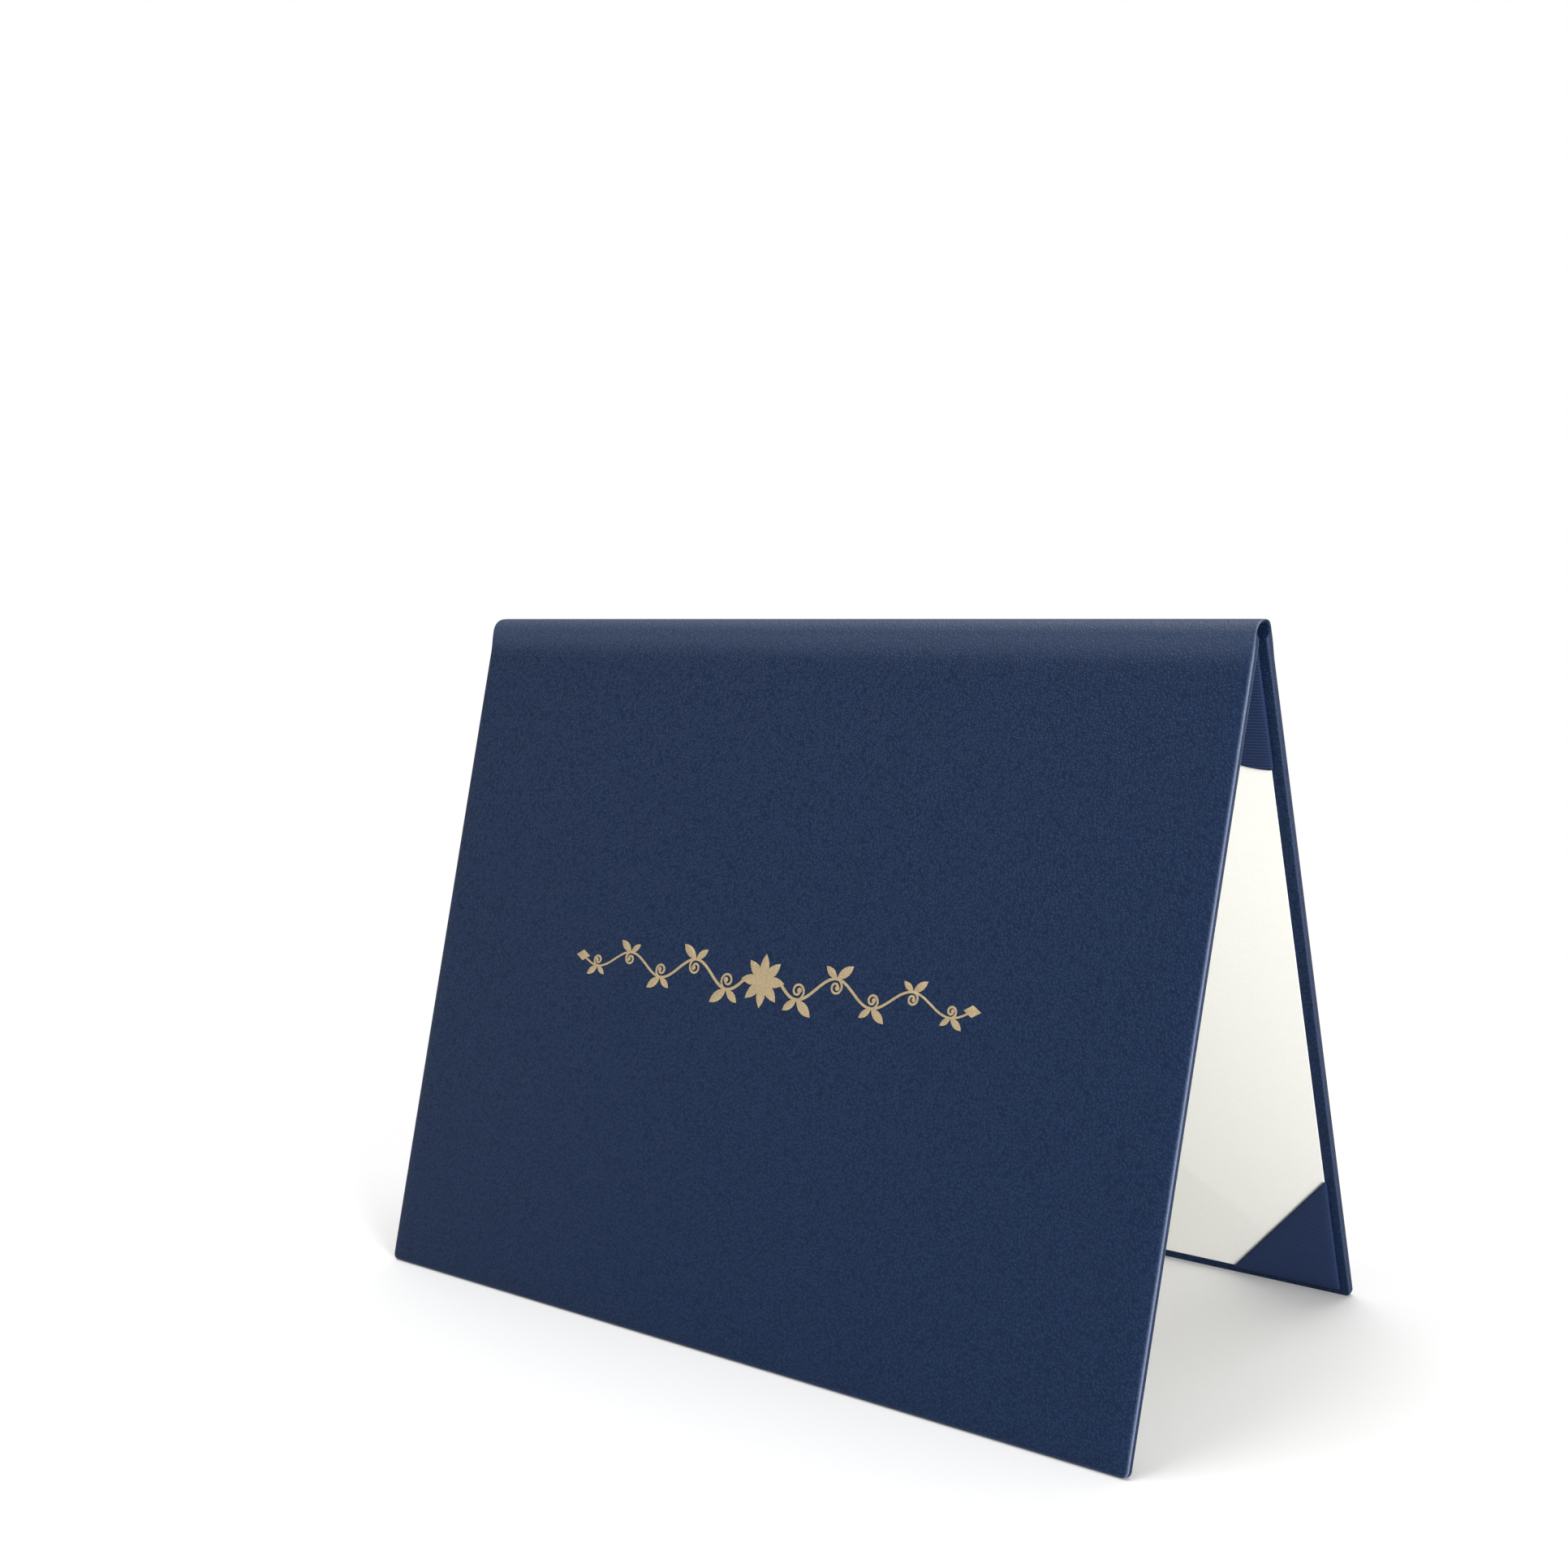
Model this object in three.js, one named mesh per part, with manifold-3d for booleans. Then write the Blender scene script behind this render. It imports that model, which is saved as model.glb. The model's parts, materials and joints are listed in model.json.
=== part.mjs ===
// A padded diploma cover: two wrapped covers joined by a soft spine, standing as a tent on their foot edges.
// Millimetres. +X runs along the spine, +Y from the front cover to the rear cover, +Z is up.
import * as THREE from "three";
import { mergeVertices } from "three/addons/utils/BufferGeometryUtils.js";
import Module from "manifold-3d";

const wasm = await Module();
wasm.setup();

// Covers
const coverLength = 292; // along the spine
const coverHeight = 226.1; // from the end of the board at the spine to the foot edge
const coverCornerRadius = 1.8; // at the two foot corners, seen from the front
const tentLean = THREE.MathUtils.degToRad(18.2); // each cover's lean from upright

// Layers of a cover, counted from its outer face inwards
const wrapThickness = 0.35; // leatherette
const padThickness = 0.7; // foam under the leatherette
const boardThickness = 1.4; // greyboard that stiffens the cover
const linerThickness = 0.5; // card that faces the inside
const glueLine = 0.2; // clearance between two layers
const footPress = 0.1; // how far the foot edge is pressed flat by the table

// Form of the padded face and of the folded edges
const crownReach = 8; // width of the band where the padding rolls down to the edge
const crownDepth = 1; // how far it rolls down
const innerEdgeRadius = 0.7; // edge between a side and the inner face
const turnInWidth = 14; // leatherette folded over onto the inner face
const crownCornerGrowth = 0.6; // how much rounder the corner gets for each mm that the crown runs in

// Inside of the covers
const sideBorder = 3.6; // leatherette left showing beside a liner
const footBorder = 3.8; // the same along the foot edge
const hingeBorder = 4.3; // the same along the hinge
const linerCornerRadius = 0.4;
const liningFlange = 12; // width of the hinge lining that is glued to each cover
const liningEndMargin = 1.5; // the lining stops short of the sides of the covers

// Corner pockets of the rear cover
const pocketAlongSpine = 35.7; // leg of the triangle along the spine
const pocketDownCover = 41.8; // leg of the triangle down the cover
const pocketThickness = 0.35;
const pocketRoom = 0.3; // room for the paper between the liner and a pocket

// Spine
const closedGap = 0.4; // between the two insides when the covers are shut
const foldReach = 2; // the fold turns about a line this far above the end of the cover
const foldGap = 0.4; // between a cover's leatherette and the spine's, across the fold
const spineEndMargin = 0.6; // the spine stops short of the sides of the covers

// Gold foil ornament on the front cover
const ornamentLength = 160;
const ornamentCentre = 110; // from the end of the cover down to the ornament's middle
const foilThickness = 0.15;
const foilGap = 0.1;

// Facets
const cornerSteps = 5;
const crownSteps = 7;
const edgeSteps = 3;
const archSteps = 16;

// Worked out from the sizes above
const coverThickness = 2 * wrapThickness + padThickness + boardThickness + 3 * glueLine;
const padDepth = wrapThickness + glueLine;
const boardDepth = padDepth + padThickness + glueLine;
const turnInDepth = coverThickness - wrapThickness;
const linerDepth = coverThickness + glueLine;
const frontStack = linerDepth + linerThickness;
const pocketDepth = frontStack + pocketRoom;
const rearStack = pocketDepth + pocketThickness;
const closedThickness = frontStack + rearStack + closedGap;
const hingeSpacing = closedThickness - wrapThickness;
const archHalfSpan = hingeSpacing / 2 + foldReach * Math.sin(tentLean);
const archRadius = archHalfSpan / Math.cos(tentLean); // to the middle of the leatherette
const liningStart = foldGap / 2 + wrapThickness / 2;
const coreStart = liningStart + wrapThickness + glueLine;
const halfLength = coverLength / 2;
const insideReach = 2 * crownReach; // how far cutters run past the end of the cover

// Place of the cover's end at the spine, which puts the rounded foot edge on the table
const roundingLift = innerEdgeRadius * (Math.cos(tentLean) + Math.sin(tentLean) - 1);
const coverEndHeight =
  coverHeight * Math.cos(tentLean) + coverThickness * Math.sin(tentLean) - roundingLift - footPress;
const coverEndOffset = archHalfSpan + (wrapThickness / 2) * Math.cos(tentLean);
const archCentreHeight = coverEndHeight - (archRadius + wrapThickness / 2) * Math.sin(tentLean);

// Finishes
const finish = (color, roughness, metalness = 0) => ({ color, roughness, metalness });
const leatherette = finish(0x233355, 0.42);
const pocketCloth = finish(0x2a395a, 0.7);
const linerCard = finish(0xf5f2ea, 0.8);
const greyboard = finish(0x8f887b, 0.95);
const foam = finish(0xdcd8cc, 0.95);
const goldFoil = finish(0xc2a878, 0.35, 0.85);

// Solid from a closed geometry, and geometry from a solid
function toSolid(geometry) {
  const bare = new THREE.BufferGeometry();
  bare.setAttribute("position", geometry.getAttribute("position"));
  bare.setIndex(geometry.getIndex());
  const merged = mergeVertices(bare, 1e-4);
  const vertProperties = new Float32Array(merged.getAttribute("position").array);
  const triVerts = new Uint32Array(merged.getIndex().array);
  return new wasm.Manifold(new wasm.Mesh({ numProp: 3, vertProperties, triVerts }));
}

function toGeometry(solid) {
  const { vertProperties, triVerts } = solid.getMesh();
  const geometry = new THREE.BufferGeometry();
  geometry.setAttribute("position", new THREE.BufferAttribute(vertProperties, 3));
  geometry.setIndex(new THREE.BufferAttribute(triVerts, 1));
  geometry.computeVertexNormals();
  return geometry;
}

function piece(name, solid, look) {
  const mesh = new THREE.Mesh(toGeometry(solid), new THREE.MeshStandardMaterial(look));
  mesh.name = name;
  return mesh;
}

// Block between two corners
function block(low, high) {
  const size = high.map((value, axis) => value - low[axis]);
  const middle = high.map((value, axis) => (value + low[axis]) / 2);
  return toSolid(new THREE.BoxGeometry(...size).translate(...middle));
}

// Rounded rectangle, as a ring of points at one depth
function roundedRing({ halfWidth, top, foot, radius, depth }) {
  const centres = [
    [halfWidth - radius, foot - radius],
    [-halfWidth + radius, foot - radius],
    [-halfWidth + radius, top + radius],
    [halfWidth - radius, top + radius],
  ];
  const ring = [];
  centres.forEach(([x, y], quarter) => {
    for (let step = 0; step <= cornerSteps; step += 1) {
      const angle = ((quarter + step / cornerSteps) * Math.PI) / 2;
      ring.push(new THREE.Vector3(x + radius * Math.cos(angle), y + radius * Math.sin(angle), depth));
    }
  });
  return ring;
}

// Closed solid lofted through rings of equal length, ordered from the lowest depth to the highest
function loft(rings) {
  const count = rings[0].length;
  const points = rings.flat();
  const index = [];
  for (let ring = 0; ring < rings.length - 1; ring += 1) {
    for (let i = 0; i < count; i += 1) {
      const a = ring * count + i;
      const b = ring * count + ((i + 1) % count);
      index.push(a, b, b + count, a, b + count, a + count);
    }
  }
  const last = (rings.length - 1) * count;
  for (let i = 1; i < count - 1; i += 1) {
    index.push(0, i + 1, i);
    index.push(last, last + i, last + i + 1);
  }
  const geometry = new THREE.BufferGeometry().setFromPoints(points);
  geometry.setIndex(index);
  return toSolid(geometry);
}

// Cover outline shrunk by an inset all round: crowned outer face, upright sides, rounded inner edge.
// It runs past the end at the spine, where it is cut off afterwards.
function paddedSlab(inset) {
  const rings = [];
  const addRing = (run, depth) =>
    rings.push(
      roundedRing({
        halfWidth: halfLength - inset - run,
        top: -insideReach + run,
        foot: coverHeight - inset - run,
        radius: coverCornerRadius + run * crownCornerGrowth,
        depth,
      }),
    );
  for (let step = 0; step <= crownSteps; step += 1) {
    const angle = (step / crownSteps) * (Math.PI / 2);
    addRing(crownReach * (1 - Math.sin(angle)), inset + crownDepth * (1 - Math.cos(angle)));
  }
  for (let step = 0; step <= edgeSteps; step += 1) {
    const angle = (step / edgeSteps) * (Math.PI / 2);
    const run = innerEdgeRadius * (1 - Math.cos(angle));
    addRing(run, coverThickness - inset - innerEdgeRadius * (1 - Math.sin(angle)));
  }
  return loft(rings);
}

// Everything past the cover's end at the spine, and everything below the table top, in the cover's own frame
const pastTheEnd = (start) =>
  block([-coverLength, -coverHeight, -coverLength], [coverLength, start, coverLength]);

function belowTable() {
  const table = new THREE.BoxGeometry(2 * coverLength, coverHeight, coverHeight);
  table.translate(0, 0, -coverHeight / 2);
  table.translate(0, 0, -coverEndHeight);
  table.rotateX(Math.PI / 2 + tentLean);
  return toSolid(table);
}

// Leatherette of one cover: padded face, sides and the turn-ins on three edges
function wrap() {
  const open = insideReach;
  const window = block(
    [-halfLength + turnInWidth, -open, coverThickness / 2],
    [halfLength - turnInWidth, coverHeight - turnInWidth, 2 * coverThickness],
  );
  const liningBay = block(
    [-halfLength + liningEndMargin - glueLine, -open, coverThickness / 2],
    [halfLength - liningEndMargin + glueLine, liningFlange + glueLine, 2 * coverThickness],
  );
  return paddedSlab(0)
    .subtract(paddedSlab(wrapThickness))
    .subtract(window)
    .subtract(liningBay)
    .subtract(pastTheEnd(foldGap / 2))
    .subtract(belowTable());
}

// One flat layer of the core, shaped by the leatherette round it
function coreLayer(depth, thickness) {
  const layer = block([-coverLength, coreStart, depth], [coverLength, 2 * coverHeight, depth + thickness]);
  return layer.intersect(paddedSlab(wrapThickness + glueLine));
}

// Hinge lining where it is glued to a cover: down over the end of the board and out on the inner face
function coverLining() {
  const half = halfLength - liningEndMargin;
  const flange = block([-half, liningStart, turnInDepth], [half, liningFlange, coverThickness]);
  const end = block([-half, liningStart, boardDepth], [half, liningStart + wrapThickness, coverThickness]);
  const endOfCore = block([-half, liningStart, 0], [half, liningStart + wrapThickness, turnInDepth - glueLine]);
  return flange.add(end).add(endOfCore.intersect(paddedSlab(wrapThickness + glueLine)));
}

// Liner card, with softened corners
function liner() {
  const outline = {
    halfWidth: halfLength - sideBorder,
    top: hingeBorder,
    foot: coverHeight - footBorder,
    radius: linerCornerRadius,
  };
  return loft([
    roundedRing({ ...outline, depth: linerDepth }),
    roundedRing({ ...outline, depth: linerDepth + linerThickness }),
  ]);
}

// Right-angled triangle extruded in depth, with its corner at the origin
function triangle(legX, legY, low, high) {
  const outline = new THREE.Shape([
    new THREE.Vector2(0, 0),
    new THREE.Vector2(legX, 0),
    new THREE.Vector2(0, legY),
  ]);
  const geometry = new THREE.ExtrudeGeometry(outline, { depth: high - low, bevelEnabled: false });
  return toSolid(geometry.translate(0, 0, low));
}

// Corner pocket: a triangle stretched over the liner's corner, with its two legs folded down round it
function pocket(sideX, atFoot) {
  const fold = pocketThickness + glueLine;
  const roomX = pocketAlongSpine + pocketThickness;
  const roomY = pocketDownCover + pocketThickness;
  const outside = triangle(pocketAlongSpine, pocketDownCover, linerDepth, rearStack);
  const room = triangle(2 * roomX, 2 * roomY, 0, pocketDepth);
  const cornerX = sideX * (halfLength - sideBorder + fold);
  const cornerY = atFoot ? coverHeight - footBorder + fold : hingeBorder - fold;
  let solid = outside.subtract(room.translate([pocketThickness, pocketThickness, 0]));
  if (sideX > 0) solid = solid.mirror([1, 0, 0]);
  if (atFoot) solid = solid.mirror([0, 1, 0]);
  return solid.translate([cornerX, cornerY, 0]);
}

// Strip of the spine that bridges the two folds as an arch
function archStrip(outerRadius, thickness) {
  const trim = foldGap / 2 / (outerRadius - thickness);
  const from = tentLean + trim;
  const to = Math.PI - from;
  const outline = new THREE.Shape();
  outline.absarc(0, 0, outerRadius, from, to, false);
  outline.absarc(0, 0, outerRadius - thickness, to, from, true);
  const length = coverLength - 2 * spineEndMargin;
  const settings = { depth: length, bevelEnabled: false, curveSegments: archSteps };
  const geometry = new THREE.ExtrudeGeometry(outline, settings);
  geometry.translate(0, 0, -length / 2);
  geometry.rotateX(Math.PI / 2);
  geometry.rotateZ(Math.PI / 2);
  return toSolid(geometry);
}

// Ornament of gold foil: a vine runs out from a rosette to both sides, with a tendril curled into each bend
const rosettePetals = 8;
const rosetteReach = 8.5;
const petalHalfWidth = 1.7;
const rosetteEye = 2.6;
const stemStart = 7; // from the middle of the ornament
const stemHalfWidth = 0.5;
const stemTipHalfWidth = 0.3;
const vineBends = 5; // on each side
const vineSwing = 4.4; // of the first bend, to each side
const vineTipSwing = 2.6;
const tendrilReach = 2.9; // radius of the first tendril
const tendrilTipReach = 1.8;
const tendrilTurns = 1.3;
const tendrilTightening = 0.75; // share of its radius that a tendril loses from its root to its tip
const tendrilHalfWidth = 0.35;
const berryRadius = 0.9;
const leafLength = 8;
const leafTipLength = 5;
const leafFullness = 1.7; // half width of the first leaf
const backLeafShare = 0.8; // size of the leaf that leans back, against the one that leans on
const leafSpread = THREE.MathUtils.degToRad(38);
const finialHalf = [3, 1.8];
const stemSteps = 50;
const tendrilSteps = 18;
const leafSteps = 5;
const vineLength = ornamentLength / 2 - finialHalf[0] - stemStart;
const bendLength = vineLength / vineBends;
const between = THREE.MathUtils.lerp;

function foilShape(outline, curveSegments = archSteps) {
  const settings = { depth: foilThickness, bevelEnabled: false, curveSegments };
  return toSolid(new THREE.ExtrudeGeometry(outline, settings));
}

function disc(x, y, radius) {
  const outline = new THREE.Shape();
  outline.absarc(x, y, radius, 0, 2 * Math.PI, false);
  return foilShape(outline, archSteps / 2);
}

// Band of foil along a path: pathAt(t) gives the middle and halfWidthAt(t) half the width, for t from 0 to 1
function band(pathAt, halfWidthAt, steps) {
  const near = [];
  const far = [];
  const nudge = 0.001;
  for (let step = 0; step <= steps; step += 1) {
    const t = step / steps;
    const middle = pathAt(t);
    const across = pathAt(t + nudge).sub(pathAt(t - nudge)).normalize();
    across.set(-across.y, across.x).multiplyScalar(halfWidthAt(t));
    near.push(middle.clone().sub(across));
    far.unshift(middle.clone().add(across));
  }
  return foilShape(new THREE.Shape([...near, ...far]));
}

// Pointed leaf or petal that grows from a root in one direction
function leaf(root, direction, length, halfWidth) {
  const along = new THREE.Vector2(Math.cos(direction), Math.sin(direction));
  const across = new THREE.Vector2(-along.y, along.x);
  const at = (reach, side) => root.clone().addScaledVector(along, reach).addScaledVector(across, side);
  const tip = at(length, 0);
  const belly = at(length / 2, 2 * halfWidth);
  const back = at(length / 2, -2 * halfWidth);
  const outline = new THREE.Shape();
  outline.moveTo(root.x, root.y);
  outline.quadraticCurveTo(back.x, back.y, tip.x, tip.y);
  outline.quadraticCurveTo(belly.x, belly.y, root.x, root.y);
  return foilShape(outline, leafSteps);
}

function rosette() {
  let solid = disc(0, 0, rosetteEye);
  for (let petal = 0; petal < rosettePetals; petal += 1) {
    const direction = (2 * Math.PI * petal) / rosettePetals;
    solid = solid.add(leaf(new THREE.Vector2(0, 0), direction, rosetteReach, petalHalfWidth));
  }
  return solid;
}

// Stem of the vine on the right, swinging from side to side less and less
const swingAt = (t) => between(vineSwing, vineTipSwing, t);
const stemAt = (t) =>
  new THREE.Vector2(stemStart + vineLength * t, swingAt(t) * Math.sin(Math.PI * vineBends * t));

function tendril(bend) {
  const t = (bend + 0.5) / vineBends;
  const side = bend % 2 ? -1 : 1;
  const reach = between(tendrilReach, tendrilTipReach, t);
  const middle = new THREE.Vector2(stemStart + vineLength * t, side * (swingAt(t) - reach));
  const curlAt = (along) => {
    const angle = side * (Math.PI / 2 - 2 * Math.PI * tendrilTurns * along);
    const radius = reach * (1 - tendrilTightening * along);
    return new THREE.Vector2(Math.cos(angle), Math.sin(angle)).multiplyScalar(radius).add(middle);
  };
  const tip = curlAt(1);
  const berry = disc(tip.x, tip.y, (berryRadius * reach) / tendrilReach);
  return band(curlAt, () => tendrilHalfWidth, tendrilSteps).add(berry);
}

// Two leaves on the outer side of a bend, one leaning each way
function leaves(bend) {
  const t = (bend + 0.5) / vineBends;
  const side = bend % 2 ? -1 : 1;
  const length = between(leafLength, leafTipLength, t);
  const fullness = leafFullness * (length / leafLength);
  const leaning = leaf(stemAt(t), side * leafSpread, length, fullness);
  const backwards = Math.PI - side * leafSpread;
  return leaning.add(leaf(stemAt(t), backwards, length * backLeafShare, fullness * backLeafShare));
}

function finial() {
  const [halfX, halfY] = finialHalf;
  const middle = ornamentLength / 2 - halfX;
  const corners = [
    [middle - halfX, 0],
    [middle, -halfY],
    [middle + halfX, 0],
    [middle, halfY],
  ];
  return foilShape(new THREE.Shape(corners.map(([x, y]) => new THREE.Vector2(x, y))));
}

function vine() {
  let solid = band(stemAt, (t) => between(stemHalfWidth, stemTipHalfWidth, t), stemSteps).add(finial());
  for (let bend = 0; bend < vineBends; bend += 1) {
    solid = solid.add(tendril(bend)).add(leaves(bend));
  }
  return solid;
}

function ornament() {
  const solid = rosette().add(vine()).add(vine().mirror([1, 0, 0]));
  return solid.translate([0, ornamentCentre, -foilGap - foilThickness]);
}

// One cover in its own frame: +Y runs down the cover from its end at the spine, +Z from its outer face inwards
function cover(side) {
  const group = new THREE.Group();
  group.add(piece(side + "_wrap", wrap(), leatherette));
  group.add(piece(side + "_pad", coreLayer(padDepth, padThickness), foam));
  group.add(piece(side + "_board", coreLayer(boardDepth, boardThickness), greyboard));
  group.add(piece(side + "_hinge_lining", coverLining(), leatherette));
  group.add(piece(side + "_liner", liner(), linerCard));
  group.position.set(0, -coverEndOffset, coverEndHeight);
  group.rotation.x = -(Math.PI / 2 + tentLean);
  return group;
}

const frontCover = cover("front");
frontCover.add(piece("front_foil_ornament", ornament(), goldFoil));

const rearCover = cover("rear");
rearCover.add(piece("pocket_hinge_left", pocket(1, false), pocketCloth));
rearCover.add(piece("pocket_hinge_right", pocket(-1, false), pocketCloth));
rearCover.add(piece("pocket_foot_left", pocket(1, true), pocketCloth));
rearCover.add(piece("pocket_foot_right", pocket(-1, true), pocketCloth));
const turnedCover = new THREE.Group();
turnedCover.rotation.z = Math.PI;
turnedCover.add(rearCover);

const spine = new THREE.Group();
spine.position.set(0, 0, archCentreHeight);
const wrapOuterRadius = archRadius + wrapThickness / 2;
const liningOuterRadius = wrapOuterRadius - wrapThickness - glueLine;
spine.add(piece("spine_wrap", archStrip(wrapOuterRadius, wrapThickness), leatherette));
spine.add(piece("spine_hinge_lining", archStrip(liningOuterRadius, wrapThickness), leatherette));

const diplomaCover = new THREE.Group();
diplomaCover.add(frontCover, turnedCover, spine);

export default diplomaCover;
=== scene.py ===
"""Dresses a padded diploma cover that stands as a tent: leatherette skins, linings, liners, pockets and foil.

Metres. +X runs along the spine, +Y from the front cover to the rear cover, +Z is up.

Each soft layer is first laid out flat on the workbench, as x along the spine, y down the cover from its end
at the spine and z from the outer face inwards, and is then rolled up round the spine.
"""

import json
import math

import bpy
from mathutils import Matrix, Vector, noise


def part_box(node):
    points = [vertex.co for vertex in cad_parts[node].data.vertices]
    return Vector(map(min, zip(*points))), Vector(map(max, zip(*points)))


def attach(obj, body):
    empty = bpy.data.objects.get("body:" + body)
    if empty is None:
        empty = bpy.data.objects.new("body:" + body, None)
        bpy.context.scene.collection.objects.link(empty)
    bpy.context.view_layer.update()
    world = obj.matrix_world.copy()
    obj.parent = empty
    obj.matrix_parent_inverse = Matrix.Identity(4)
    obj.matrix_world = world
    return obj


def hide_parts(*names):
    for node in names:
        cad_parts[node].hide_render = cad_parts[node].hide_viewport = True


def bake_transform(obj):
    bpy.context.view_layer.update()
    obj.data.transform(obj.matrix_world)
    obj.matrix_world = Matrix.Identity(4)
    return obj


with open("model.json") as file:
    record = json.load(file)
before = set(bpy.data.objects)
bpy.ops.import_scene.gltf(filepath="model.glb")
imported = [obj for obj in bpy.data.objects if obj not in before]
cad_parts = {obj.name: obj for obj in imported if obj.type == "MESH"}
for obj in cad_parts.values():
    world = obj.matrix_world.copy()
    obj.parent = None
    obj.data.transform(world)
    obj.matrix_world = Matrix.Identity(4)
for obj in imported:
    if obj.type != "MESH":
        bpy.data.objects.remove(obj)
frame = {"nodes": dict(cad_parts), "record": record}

bl_info = {
    "name": "Diploma cover",
    "version": (1, 0, 0),
    "blender": (4, 5, 0),
    "location": "View3D > Sidebar > Diploma cover",
    "description": "Models the soft and printed layers of a padded diploma cover and sets its stage",
    "category": "Object",
}

MM = 0.001

# Place of the covers and of the spine, from the frame
HINGE = frame["record"]["behaviour"]["joints"][0]
LEAN = -math.radians(HINGE["range_deg"][0])
FOLD_POINT = Vector(HINGE["pos_m"])
FOLD_REACH = 2.0 * MM  # the fold turns about a line this far above the cover's end
HALF_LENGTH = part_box("front_wrap")[1][0]
DOWN = Vector((0, -math.sin(LEAN), -math.cos(LEAN)))
INWARD = Vector((0, math.cos(LEAN), -math.sin(LEAN)))

# Layers of a cover, as depths from its outer face
SKIN_THICKNESS = 0.35 * MM
COVER_THICKNESS = 3.36 * MM
LINING_DEPTH = 3.58 * MM
LINING_THICKNESS = 0.2 * MM
LINER_DEPTHS = (3.6 * MM, 4.05 * MM)
POCKET_DEPTH = 4.72 * MM
POCKET_THICKNESS = 0.3 * MM

# Outline of a cover
COVER_HEIGHT = 226.1 * MM
CORNER_RADIUS = 1.8 * MM
CROWN_DEPTH = 1.0 * MM
INNER_RADIUS = 0.7 * MM
SIDE_BORDER = 3.6 * MM
FOOT_BORDER = 3.8 * MM
HINGE_BORDER = 4.3 * MM

# The spine
COVER_END = FOLD_POINT + DOWN * FOLD_REACH - INWARD * (SKIN_THICKNESS / 2)
SPINE_RADIUS = -COVER_END.y / math.cos(LEAN)
SPINE_CENTRE = Vector((0, 0, COVER_END.z - SPINE_RADIUS * math.sin(LEAN)))
HALF_ARC = SPINE_RADIUS * (math.pi / 2 - LEAN)
SPINE_EDGE_THICKNESS = 0.9 * MM  # leatherette folded over on itself
SPINE_EDGE_DEPTH = 0.4 * MM
SPINE_EDGE_REACH = 1.6 * MM
SPINE_END_MARGIN = 0.1 * MM
SPINE_END_REACH = 4 * MM  # down the cover, over which that margin runs out
SPINE_LINING_DEPTH = 1.25 * MM
REAR_SHOULDER = 0.5 * MM  # the spine's rear half is squarer than a round arch by this much
ROLL_LEFT_AT_RIDGE = 0.5  # share of the padding's sinking that is still there at the ridge
SPINE_BLEND_REACH = 8 * MM  # over this the cover's padded edge thins out into the spine's
FOLD_BAND = (-0.8 * MM, 1.2 * MM)  # the cover's full thickness thins out to the spine's between these
CALM_REACH = 20 * MM  # the face has no ripples at the spine, and all of them from here on

# Folds of the leatherette: faint rubbed wear, a painted highlight along the side at +X and a painted sheen
# along the ridge
# Painted highlight: paleness of the folds on the side at +X; the other folds get faint rubbed wear
LIT_SIDE_PAINTED_HIGHLIGHT = 0.85
OTHER_SIDE_WEAR = 0.15
FOLD_WEAR_AND_HIGHLIGHT_WIDTH = 0.7 * MM
# Painted sheen: paleness of the band along the ridge, fading out down the cover
RIDGE_PAINTED_SHEEN = 0.145
RIDGE_PAINTED_SHEEN_REACH = 10 * MM

# Rows and columns of the skin and of the lining
CROWN_STEPS = 9
NEAR_EDGE = (0.4 * MM, 0.9 * MM, CORNER_RADIUS)
LEAST_STEP = 0.05 * MM
FACE_STEP = 6 * MM
ARC_STEP = 0.33 * MM
RIDGE_STEP = 0.03 * MM  # so short that the two halves of the spine meet with the same slope
ROLL_STEP = 0.8 * MM
ROLL_ROWS_REACH = 12 * MM
WALL_DEPTHS = (1.35 * MM, 1.9 * MM, COVER_THICKNESS - INNER_RADIUS)
INNER_EDGE_STEPS = 5
TURN_IN_INSETS = (1.8 * MM, 3.0 * MM, 4.5 * MM, 8.0 * MM)
LINING_COLUMN = 12 * MM
LINING_ROWS = (0.6 * MM, 0.2 * MM, 2 * MM)  # on the arc, round the fold, on the cover
LINING_FOLD = (-1.2 * MM, 1.6 * MM)
LINING_SLOPE = (-1.0 * MM, 1.4 * MM)  # the lining comes down from the spine to the cover between these

# The pockets
POCKET_COLUMN = 1.8 * MM
POCKET_ROW = 2.1 * MM
SLANT_MERGE = 0.01 * MM
ON_SLANT = 0.0001
TAUT_SHARE = 3  # the cloth is at its full height a third of the way in from its edges
CLOTH_SHARE = 0.8  # the cloth's own thickness, by the room it takes
FOLD_SHARE = 0.6  # radius of its folded edges, by the same
LEG_GAP = 0.1 * MM
HALF_FOLD = ((0.7, 0.3), (1, 1))  # outwards and downwards, in fold radii
HEM_FOLD = HALF_FOLD + ((0.7, 1.7), (0, 2))
POCKET_SMOOTH_ANGLE = math.radians(50)

# The foil
FOIL_SEATING = 0.12 * MM
FOIL_EDGE = 0.05 * MM
FLAT_ANGLE = math.radians(1)

# Finishes: a tint is a pair of factors on the colour, a bump is its depth and its strength
PEBBLE_SHAPE = (1.0, 0.5, 1.0)
GROOVE_SHARE = 0.3
MOTTLE_SCALE = 55
GRAIN_TINT = (0.62, 1.28)
GRAIN_BUMP = (0.12 * MM, 0.7)
GRAIN_ROUGHNESS = (0.34, 0.5)
RIB_TINT = (0.7, 1.6)
RIB_BUMP = (0.08 * MM, 0.6)
THREADS_PER_RIB = 1.7
THREAD_SHARE = 0.35
FIBRE_TINT = (0.94, 1.04)
FIBRE_BUMP_STRENGTH = 0.3
FOIL_TINT = (0.85, 1.1)
FOIL_BUMP = (0.08 * MM, 0.3)
LEATHER_SHADER = {"Specular IOR Level": 0.19}
POCKET_SHADER = {"Roughness": 0.75, "Specular IOR Level": 0.3}
FOIL_SHADER = {"Metallic": 0.55, "Roughness": 0.38}
FLOOR_SHADER = {"Roughness": 0.8, "Specular IOR Level": 0.2}

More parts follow.
